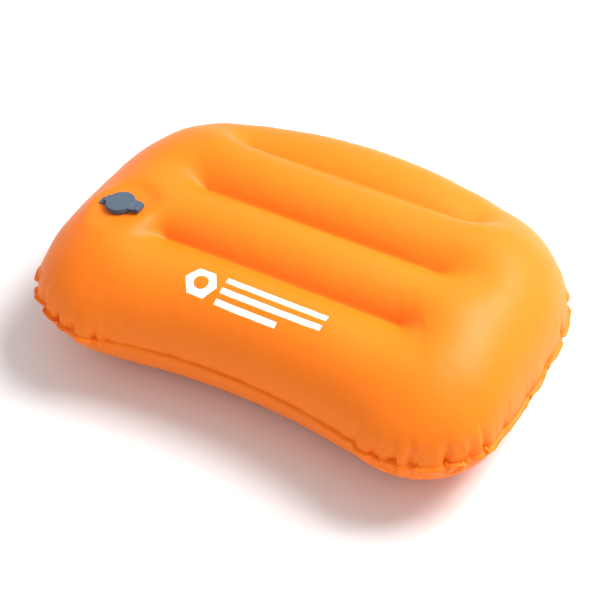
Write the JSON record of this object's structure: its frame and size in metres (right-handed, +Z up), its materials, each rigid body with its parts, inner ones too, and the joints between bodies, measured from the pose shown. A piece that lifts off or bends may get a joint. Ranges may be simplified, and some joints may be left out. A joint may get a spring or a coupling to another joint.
{
  "type": "inflatable camp pillow",
  "caption": "Inflatable kidney-shaped camp pillow of two welded coated-fabric panels, with ridges over internal baffles and a flat two-stage valve on one shoulder.",
  "frame": {"origin": "on the surface that the pillow lies on, below the middle of its outline", "axes": "+X along the long side, away from the valve; +Y from the hollow neck edge to the full back edge; +Z up"},
  "size_m": [0.45, 0.3195, 0.1315],
  "materials": {
    "shell_fabric": "smooth satin coated fabric with a very fine weave",
    "baffle_film": "smooth coated film",
    "valve_plastic": "soft moulded, satin",
    "valve_insert": "moulded, satin",
    "valve_silicone": "soft translucent silicone, satin"
  },
  "bodies": {
    "pillow": {"top_panel": "shell_fabric", "bottom_panel": "shell_fabric", "baffle_front": "baffle_film", "baffle_middle": "baffle_film", "baffle_back": "baffle_film", "valve_base": "valve_plastic"},
    "plug": {"deflate_plug": "valve_plastic", "check_seat": "valve_insert"},
    "check": {"check_valve": "valve_silicone"},
    "cap": {"inflate_cap": "valve_plastic"}
  },
  "joints": [
    {"name": "plug_hinge", "type": "hinge", "parent": "pillow", "child": "plug", "pos_m": [-0.17319, -0.0574, 0.12362], "axis": [0, -1, 0], "range_deg": [0, 95]},
    {"name": "cap_hinge", "type": "hinge", "parent": "plug", "child": "cap", "pos_m": [-0.17242, -0.0574, 0.12586], "axis": [0, -1, 0], "range_deg": [0, 90]},
    {"name": "check_slide", "type": "slide", "parent": "plug", "child": "check", "axis": [0.1045, 0, -0.9945], "range_m": [0, 0.0022], "stiffness_N_per_m": 60, "springref_m": -0.0005}
  ]
}
